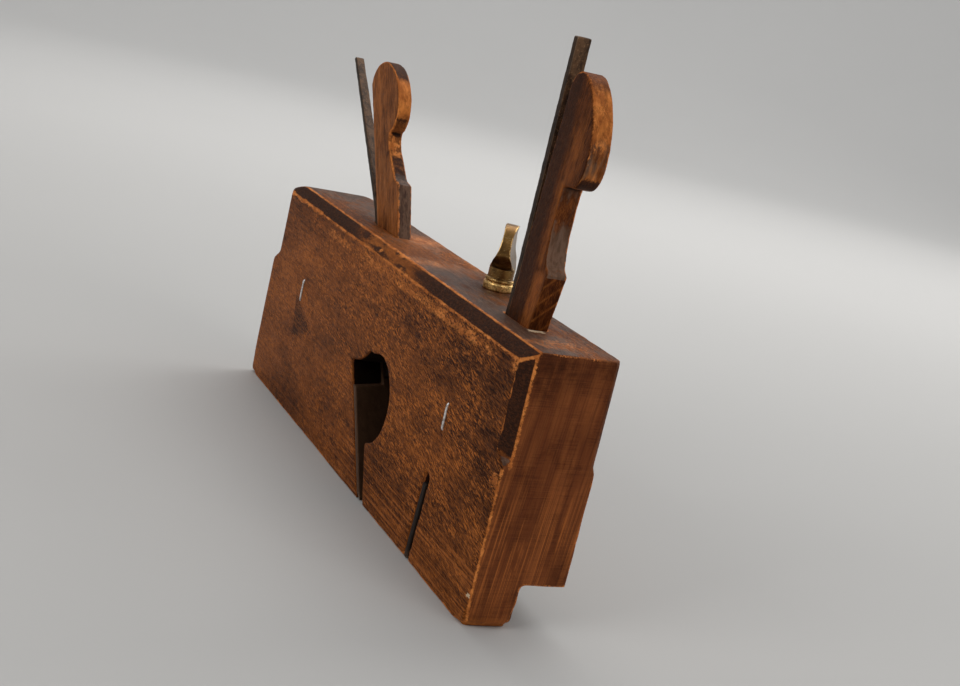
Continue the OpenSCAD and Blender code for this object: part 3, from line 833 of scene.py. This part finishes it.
def body_wear(s):
    """Wear of the outer arrises and of the places that hands and the bench touch."""
    x, y, z, grain, fine = s.x, s.y, s.z, s.grain, s.fine
    chamfered = (z > 76) * (y < -2) + (x > 111) * (y < -3.4) * (z > CHAMFER_STOP - 1)
    rub = 0.8 * rise(0.24, 0.46, s.arris * (1 + 0.3 * fine)) * (1 - chamfered)
    for start, end, worn, uneven, half in chamfer_arrises(s):
        rub = np.maximum(rub, worn + uneven * fine - line_gap(s.co, start, end) / half)
    # Less by the openings, on the toe's top arris and on the shoulder side
    rub *= 1 - 0.85 * np.maximum(s.eye_rim, s.slot * (z > 1.5))
    rub *= 1 - 0.5 * (z > 82) * (x > 118) * (y > -2)
    rub *= 1 - 0.25 * (y > 15)

    below_chamfer = s.right * spot(z, 76.6 - 1.2 * fall(-60, 40, x), 0.9, 2.2)
    below_chamfer *= 0.8 + 0.5 * grain + 0.3 * fine
    below_chamfer *= rise(-80, -45, x) * fall(96, 108, x) * 0.62
    worn_run = s.top_cham * s.worn_run * (0.12 + 0.3 * fine + 0.5 * s.dashes)
    toe_corner = s.right * 0.6 * fall(1.5, 5, np.hypot(x - 113, z - 78.6) + 1.5 * fine)
    heel_gap = np.hypot(x - s.low[0], (z - 82) * 0.7)
    heel_top = (y < -3) * 0.7 * fall(3, 9, heel_gap + 2.5 * fine)
    stop_gap = np.hypot((x - 117.5) / 1.1, (z - 44) / 1.5)
    below_stop = s.right * 0.6 * fall(1, 3.5, stop_gap + fine)
    mid_top = s.top * (0.42 + 0.55 * s.blot + 0.2 * grain) * fall(14, 34, x) * rise(-60, -14, x)
    toe_top = 0.5 * s.top * fall(3, 9, np.hypot(x - 110, (y - 4) * 0.6) + 3 * fine)
    rub = np.maximum.reduce([rub, below_chamfer, worn_run, toe_corner, heel_top, below_stop,
                             mid_top, toe_top])
    return rub * (1 - np.maximum(s.cave, 0.8 * s.stop_facet))


def body_glow(s):
    """Smooth orange polish on the top, the worn run of its chamfer and the toe's foot."""
    top = 0.45 * s.top * (0.5 + s.blot) * fall(14, 34, s.x) * rise(-60, -14, s.x)
    run = 0.3 * s.top_cham * s.worn_run * (0.6 + 0.6 * s.grain)
    foot = 0.6 * fall(0.5, 4, s.z) * rise(112, 119, s.x)
    return np.maximum.reduce([top, run, foot])


def body_pale(s):
    """Torn fibre by the nicker wedge, and a chip at the toe's foot."""
    by_wedge = s.top * spot(s.x, 96.5, 0.9, 0.8) * spot(s.y, 5.2, 2.2, 1) * (0.9 + 0.2 * s.fine)
    chip = 0.7 * fall(0.4, 1.2, np.hypot((s.x - 119.4) * 0.4, s.z - 9.6)) * s.right
    return np.maximum(by_wedge, chip)


def dent_body(s):
    """Dents the arrises, makes the faces a little wavy, and knocks the sole's corners round."""
    dents = 0.5 + 0.5 * clouds(s.co, 3.1, 5) + 0.6 * clouds(s.co, 7.3, 6)
    wide = np.clip(standing_out(s.ob, 60, 1.6), 0, 1)
    depth = 0.2 * s.out * np.clip(dents, 0, 2) + 0.1 * wide
    depth += 0.035 * clouds(s.co, (34, 17, 17), 8)
    # The depth stop rises close under the shoulder
    shoulder = (s.n[:, 2] < -0.6) * (s.z > 8) * (s.y > TONGUE_LEFT)
    depth = np.where(shoulder, np.maximum(depth, 0.08), depth)
    ends = np.maximum(rise(112, 119, s.x), fall(-119, -112, s.x)) * fall(3, 9, s.z)
    rounded = relaxed(s.co, edge_pairs(s.ob.data), 45)
    co = s.co + (rounded - s.co) * (ends * rise(0.02, 0.5, s.out))[:, None]
    put_coordinates(s.ob.data, co - s.n * depth[:, None])


def stock():
    """The wooden body, with dirt and painted shade where hands do not reach, and worn where they
    do.
    """
    s = Skin("stock", "body", 0.7, 0.42)
    x, z = s.x, s.z
    s.grain = clouds(s.co, (14, 5, 5), 11)
    s.fine = clouds(s.co, (3.2, 1.6, 1.6), 12)
    s.blot = clouds(s.co, (26, 15, 15), 13)
    s.dashes = clouds(s.co, (8, 1.3, 1.3), 14)
    find_faces(s)
    find_openings(s)
    # The part of the top chamfer that a hand has worn
    s.worn_run = rise(-54, -14, x + 9 * s.grain) * fall(12, 48, x + 9 * s.grain)
    rub = body_wear(s)
    fleck = s.right * (0.45 + 0.55 * rise(-60, 40, x + 0.5 * z)) * (0.7 + 0.3 * rise(14, 30, z))
    lined = s.right * fall(13, 28, z + 3 * s.grain) * rise(-50, 30, x)
    store_all(s.ob, dict(
        rub=rub,
        grime_and_shade=body_dirt_and_shade(s) * (1 - 0.9 * rise(0.35, 0.75, rub)),
        shade=body_shade(s),
        warm=body_glow(s),
        # Dust on the handled top, and a painted sheen on the top and on the chamfer's stop facet
        dull=np.maximum(s.top * (0.5 + 0.35 * s.blot), 0.9 * s.stop_facet),
        pale=body_pale(s),
        fleck=0.5 * s.top + 0.6 * s.left + fleck,
        lined=np.maximum(lined, 0.3 * s.side + 0.6 * s.top),
        end=np.maximum(s.toe, s.heel),
        thread=s.toe * fall(28, 58, z) * (0.6 + 0.5 * s.blot),
        # Painted shade in closed corners, and weaker all through the openings
        hollow_shade=np.maximum(np.clip(-s.edge, 0, 1), 0.7 * s.cave),
    ))
    dent_body(s)
    return dress(s.ob, "stock", "body", old_beech("stock_beech"))


# ---- wedges ----

# For each wedge: where its back face leaves the body (x, z) in mm, and the pitch of that face
# in degrees
MAIN_FOOT = (-44.62, BODY_TOP)
MAIN_PITCH = 51.8
NICKER_FOOT = (78.78, BODY_TOP)
NICKER_PITCH = 93.8


def wedge_skin(name, node, foot, pitch, seed, blot_size):
    """A wedge's skin, with u along its back face from the body's top and v from that face."""
    s = Skin(name, node, 0.4, 0.24)
    a = math.radians(pitch)
    dx, dz = s.x - foot[0], s.z - foot[1]
    s.u = -dx * math.cos(a) + dz * math.sin(a)
    s.v = dx * math.sin(a) + dz * math.cos(a)
    s.seed = seed
    s.fine = clouds(s.co, 1.6, seed + 1)
    s.blot = clouds(s.co, blot_size, seed + 2)
    s.near = s.facing((0, -1, 0), 0.7, 0.95)
    s.rub = rise(0.2, 0.42, s.arris * (1 + 0.3 * s.fine)) * 0.7
    return s


def finished_wedge(s, node, marks, inside_shade, material):
    """Cleans a wedge's dirt where it is worn, paints shade on it inside the body and nicks its
    arrises.
    """
    inside = fall(BODY_TOP - 0.6, BODY_TOP + 0.2, s.z)
    marks["grime_and_shade"] = marks["grime_and_shade"] * (1 - 0.9 * rise(0.4, 0.8, s.rub))
    marks["shade"] = marks["shade"] + inside_shade * inside
    store_all(s.ob, dict(marks, rub=s.rub * (1 - inside)))
    depth = 0.1 * s.out * np.clip(0.6 + clouds(s.co, 2.3, s.seed + 3), 0, 2)
    depth += 0.03 * clouds(s.co, 6, s.seed + 4)
    put_coordinates(s.ob.data, s.co - s.n * depth[:, None])
    return dress(s.ob, node, node, material)


def main_wedge():
    """The wedge that holds the main iron."""
    s = wedge_skin("main_wedge_wood", "main_wedge", MAIN_FOOT, MAIN_PITCH, 20, (6, 6, 9))
    u, v, fine, near = s.u, s.v, s.fine, s.near
    a = math.radians(MAIN_PITCH)
    front = rise(0.3, 0.8, s.n[:, 0] * math.sin(a) + s.n[:, 2] * math.cos(a))
    streak = np.maximum(spot(v, 7.5 + 0.06 * u, 0.9, 2.2), spot(v, 2.8, 0.5, 1.2))
    streak = streak * (0.8 + 0.6 * clouds(s.co, (4, 4, 12), 25))
    strip = front * fall(12, 13.5, u + fine)
    shade = near * (0.12 + 0.4 * streak + 0.3 * s.blot) + (1 - near) * 0.3
    shade += near * 0.9 * fall(0.5, 2.2, np.hypot(u - 23, v - 12.4)) + 0.5 * strip
    grime_and_shade = front * rise(46.5, 51, u + 1.5 * fine) * 0.7
    grime_and_shade = np.maximum(grime_and_shade, front * spot(u, 31.5, 1.4, 1.2) * 0.8)
    grime_and_shade = np.maximum(grime_and_shade, front * spot(u, 17, 5, 2) * (0.5 + 0.5 * fine))
    s.rub = np.maximum(s.rub, front * spot(u, 42, 4, 2.5) * (0.6 + 0.3 * fine))
    s.rub = np.maximum(s.rub, front * spot(u, 26, 4.5, 3) * (0.45 + 0.5 * fine))
    s.rub *= 1 - 0.5 * rise(52, 56, u) * front
    # The wedge's foot, seen deep in the eye, gets near-black painted shade
    foot = fall(46, 62, s.z + 2 * s.blot)
    marks = dict(grime_and_shade=grime_and_shade, shade=shade, dull=strip, warm=front * spot(u, 41, 6, 3),
                 fleck=np.full(len(u), 0.15), lined=0.6 * near,
                 hollow_shade=np.maximum(np.clip(-s.edge, 0, 1), 0.8 * foot))
    tones = (0.17, 0.054, 0.016), (0.34, 0.114, 0.031), (0.48, 0.18, 0.052)
    wood = old_beech("main_wedge_beech", 180 - MAIN_PITCH, tones)
    return finished_wedge(s, "main_wedge", marks, 0.45, wood)


def nicker_wedge():
    """The taller wedge that holds the nicker."""
    s = wedge_skin("nicker_wedge_wood", "nicker_wedge", NICKER_FOOT, NICKER_PITCH, 30, (6, 6, 10))
    u, v, fine, blot, near = s.u, s.v, s.fine, s.blot, s.near
    front = s.facing((1, 0, 0), 0.3, 0.8)
    # The side seen in the photograph is dark by the iron and warmer by the notch
    warm = spot(v, 12.5 + 0.04 * u, 1.4, 3) * fall(16, 20, u)
    warm = np.maximum(warm, np.exp(-(((u - 54) / 11) ** 2 + ((v - 14) / 4) ** 2)))
    warm = np.maximum(warm, 0.8 * spot(v, 11.4, 0.6, 1.4) * spot(u, 32, 12, 3))
    # Painted shade on the finial's underside, in the slow darkening and in the near-black mark
    under_finial = rise(0.3, 0.7, -s.n[:, 2]) * (u > 45)
    shade = near * (1.5 + 0.3 * blot - 1.15 * warm) + (1 - near) * 0.35 + under_finial
    shade += front * fall(18, 19, u) * 1.1
    # On the front: darker wood in the notch and at the crown, and painted shade under the finial
    shade += front * (0.55 * spot(u, 35, 9, 2) + 0.5 * spot(u, 51, 4, 3) + 0.5 * rise(70, 76, u))
    grime_and_shade = front * spot(u, 46, 1.5, 2.5) * 0.6
    grime_and_shade += near * fall(5.5, 12.5, v + 2.2 * blot) * (0.75 + 0.2 * blot) + 0.4 * under_finial
    near_arris = (v > 6) * (s.y < s.low[1] + 1.2)
    s.rub *= 1 - 0.8 * near_arris * (u < 52)
    s.rub *= 1 - 0.4 * near_arris
    streaks = clouds(s.co, (3, 0.9, 14), 35)
    finial = spot(u, 65, 7, 4) * (0.38 + 0.3 * streaks + 0.2 * fine)
    s.rub = np.maximum(s.rub, front * finial)
    worn = 0.8 + 0.5 * streaks + 0.25 * blot - 0.5 * spot(u, 54, 3, 4) - 0.5 * rise(71, 75, u)
    glow = np.maximum(front * spot(u, 61, 13, 3) * worn, near * 0.16 * warm)
    # Thin slanting lines of figure on the block below the notch
    slope = u - 1.1 * (s.y - s.low[1]) + 0.5 * blot
    for at in (-3.4, 3.2, 8.6, 14.0):
        line = (u < 17.5) * (0.34 + 0.2 * fine) * spot(slope, at, 0.1, 0.5)
        glow = np.maximum(glow, front * line)
    # Dust in the notch, and a painted sheen on the finial's front
    dull = front * fall(19, 37, u) * (u > 17.6)
    dull += front * (0.35 * spot(u, 36, 8, 4) + 0.45 * spot(u, 54, 5, 4))
    marks = dict(grime_and_shade=grime_and_shade, shade=shade, dull=dull, warm=glow, fleck=np.full(len(u), 0.1),
                 lined=0.25 * near, hollow_shade=np.clip(-s.edge, 0, 1))
    tones = (0.1, 0.028, 0.009), (0.23, 0.066, 0.018), (0.33, 0.1, 0.026)
    dust_and_sheen_tones = (0.125, 0.072, 0.046), (0.185, 0.112, 0.076)
    wood = old_beech("nicker_wedge_beech", 180 - NICKER_PITCH, tones, dust_and_sheen_tones, 0.08)
    return finished_wedge(s, "nicker_wedge", marks, 0.3, wood)


# ---- metal ----


def forged(name, node, material, dark):
    """An iron with worn edges and an uneven surface, and painted shade where it stands in the
    wood.

    The edge on the body's right side is dark where it stands out of the top.
    """
    ob = fine_copy(name, node, 0.3, 2)
    co, n = coordinates(ob.data), normals(ob.data)
    edge = standing_out(ob, 8, 0.2)
    worn = np.clip(edge, 0, 1)
    above = rise(BODY_TOP - 2, BODY_TOP + 2, co[:, 2])
    hidden = rise(0.5, 4, co[:, 2]) * (1 - above)
    near_edge = rise(0.6, 0.95, -n[:, 1]) * above
    store(ob.data, "wear", worn)
    store(ob.data, "hollow_shade", np.clip(-edge, 0, 1))
    # Painted shade where the iron stands in the wood, near black on the nicker
    store(ob.data, "in_wood_shade", hidden)
    store(ob.data, "dark", hidden * dark + 0.7 * near_edge)
    depth = 0.05 * clouds(co, 2.2, 41) + 0.03 * clouds(co, 0.9, 42)
    depth += 0.12 * worn * np.clip(clouds(co, 1.8, 43) + 0.5, 0, 1)
    put_coordinates(ob.data, co - n * depth[:, None])
    return dress(ob, node, node, material)


# The thumb piece, in mm: the top of the ring below it, the turn of its hollow faces, and over that
# ring the CAD piece's foot edge and the fan's widest place, with the fan's half width
SEAT_Z = 86.95
THUMB_TURN = math.radians(149)
FOOT_EDGE = 5.9
FAN_MIDDLE = 9.4
FAN_HALF = 8.6
# How far below its widest place the fan's rim would meet the screw's axis
RIM_CURL = 4.03
# Heights over the ring in the CAD piece, and where each comes in the filed piece
CAD_HEIGHTS = (-99, 0.7, 3, FOOT_EDGE, 7.7, 9.7, 14, 18, 99)
FILED_HEIGHTS = (-99, 0.7, 2.4, 4.5, 7.7, 10.1, 14.9, 18.9, 99.9)


def filed_thumb(ob):
    """Makes the thumb piece full in the waist, round at its foot and soft at its top.

    Returns the painted shade low on the fan, above its foot.
    """
    co = coordinates(ob.data)
    cos, sin = math.cos(THUMB_TURN), math.sin(THUMB_TURN)
    dx, dy, z = co[:, 0] - SCREW_AXIS[0], co[:, 1] - SCREW_AXIS[1], co[:, 2] - SEAT_Z
    along = dx * cos + dy * sin
    across = dy * cos - dx * sin

    # The neck and the foot are turned; above them the fan's rim curls in towards the foot
    neck = 5.1 - 0.85 * rise(0.6, 1.4, z)
    curl = np.clip((FAN_MIDDLE - z) / RIM_CURL, 0, 1)
    widest = np.where(z > FAN_MIDDLE, FAN_HALF, np.maximum(neck, FAN_HALF * np.sqrt(1 - curl**2)))
    round_share = np.where(z > 0.3, fall(FOOT_EDGE, FOOT_EDGE + 1.6, z), 0)
    to_round = np.minimum(1, widest / np.maximum(np.hypot(along, across), 0.01))
    to_rim = np.where(z > FOOT_EDGE, np.minimum(1, widest / np.maximum(np.abs(along), 0.01)), 1)
    along = along * (round_share * to_round + (1 - round_share) * to_rim)
    across = across * (round_share * to_round + 1 - round_share)
    across = across + 0.3 * rise(9, 13, z) * np.clip(across / 0.8, -1, 1)

    # The foot is lower than in the CAD piece, and the top stands a little higher
    new_z = np.interp(z, CAD_HEIGHTS, FILED_HEIGHTS)
    x = SCREW_AXIS[0] + along * cos - across * sin
    y = SCREW_AXIS[1] + along * sin + across * cos
    co = np.stack([x, y, SEAT_Z + new_z], 1)
    soft = relaxed(co, edge_pairs(ob.data), 14)
    co = co + (soft - co) * rise(12, 15, z)[:, None]
    put_coordinates(ob.data, co)
    # Painted shade low on the fan, where it turns down above the foot
    return 0.32 * rise(4, 4.7, new_z) * fall(5, 13, new_z)


def turned(name, node, body, grain_mm, rounding, material, polish=0.0, inset_mm=0.0,
           shaped=None):
    """A piece of turned or filed brass, bright on its arrises, and all over as polish says."""
    ob = fine_copy(name, node, grain_mm, rounding)
    dark = shaped(ob) if shaped else 0
    edge = standing_out(ob, 8, 0.12)
    arris = bent(ob, 5) * (edge > 0)
    bright = 0.65 + 0.5 * clouds(coordinates(ob.data), 2.4, 51)
    store(ob.data, "wear", np.maximum(bright * rise(0.08, 0.3, arris), polish))
    # Painted shade in closed corners, and what the shaping returns
    store(ob.data, "hollow_shade", np.maximum(np.clip(-edge, 0, 1), dark))
    put_coordinates(ob.data, coordinates(ob.data) - normals(ob.data) * inset_mm)
    return dress(ob, body, node, material)


def fitting(name, node, body, width_mm, material):
    """A plain fitting with bevelled edges."""
    ob = bevelled_copy(name, node, width_mm)
    store(ob.data, "wear", np.zeros(len(ob.data.vertices)))
    store(ob.data, "hollow_shade", np.zeros(len(ob.data.vertices)))
    dress(ob, body, node, material)
    for f in ob.data.polygons:
        f.use_smooth = False
    return ob


def wire_staple(name, node, material):
    """Round wire, bent square at both ends, with its legs in the wood."""
    low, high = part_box(node)
    r = (high.x - low.x) / 2
    x, y = (low.x + high.x) / 2, low.y + r
    bend = 2.2 * r
    path = [(x, high.y, low.z + r), (x, y + bend, low.z + r)]
    for i in range(1, 7):
        a = math.radians(90 * i / 6)
        path.append((x, y + bend * (1 - math.sin(a)), low.z + r + bend * (1 - math.cos(a))))
    path += [(px, py, low.z + high.z - pz) for px, py, pz in reversed(path)]
    sides = 12
    angles = [2 * math.pi * k / sides for k in range(sides)]
    side = Vector((1, 0, 0))
    rings = []
    for i, at in enumerate(path):
        before, after = path[max(i - 1, 0)], path[min(i + 1, len(path) - 1)]
        up = (Vector(after) - Vector(before)).normalized().cross(side)
        rings.append([Vector(at) + r * (math.cos(a) * side + math.sin(a) * up) for a in angles])
    mesh = tube(name, rings, [0, -1])
    return dress(new_object(name, mesh), "stock", node, material)


studio()
camera()
stock()
main_wedge()
nicker_wedge()
steel = old_steel("old_steel")
brass = old_brass("old_brass")
dull_steel = plain_steel("plain_steel")
wire = bright_wire("bright_wire")
forged("main_iron_forging", "main_iron", steel, dark=0.0)
forged("nicker_iron_forging", "nicker_iron", steel, dark=0.94)
turned("thumb_piece", "thumbscrew", "screw", 0.16, 5, brass, shaped=filed_thumb)
turned("bush_ring", "stop_bush", "stock", 0.2, 5, brass, polish=0.65)
turned("stop_foot", "stop_shoe", "depth_stop", 0.4, 2, brass, inset_mm=0.1)
turned("bar_plate", "side_plate", "stock", 0.35, 1, brass)
fitting("plate_screws", "side_plate_screws", "stock", 0.12, brass)
fitting("slide_bar", "stop_bar", "depth_stop", 0.4, dull_steel)
fitting("foot_screws", "shoe_screws", "depth_stop", 0.12, dull_steel)
fitting("screw_ring", "retaining_collar", "screw", 0.2, dull_steel)
fitting("cross_pin", "collar_pin", "screw", 0.12, dull_steel)
wire_staple("heel_wire", "heel_staple", wire)
wire_staple("toe_wire", "toe_staple", wire)
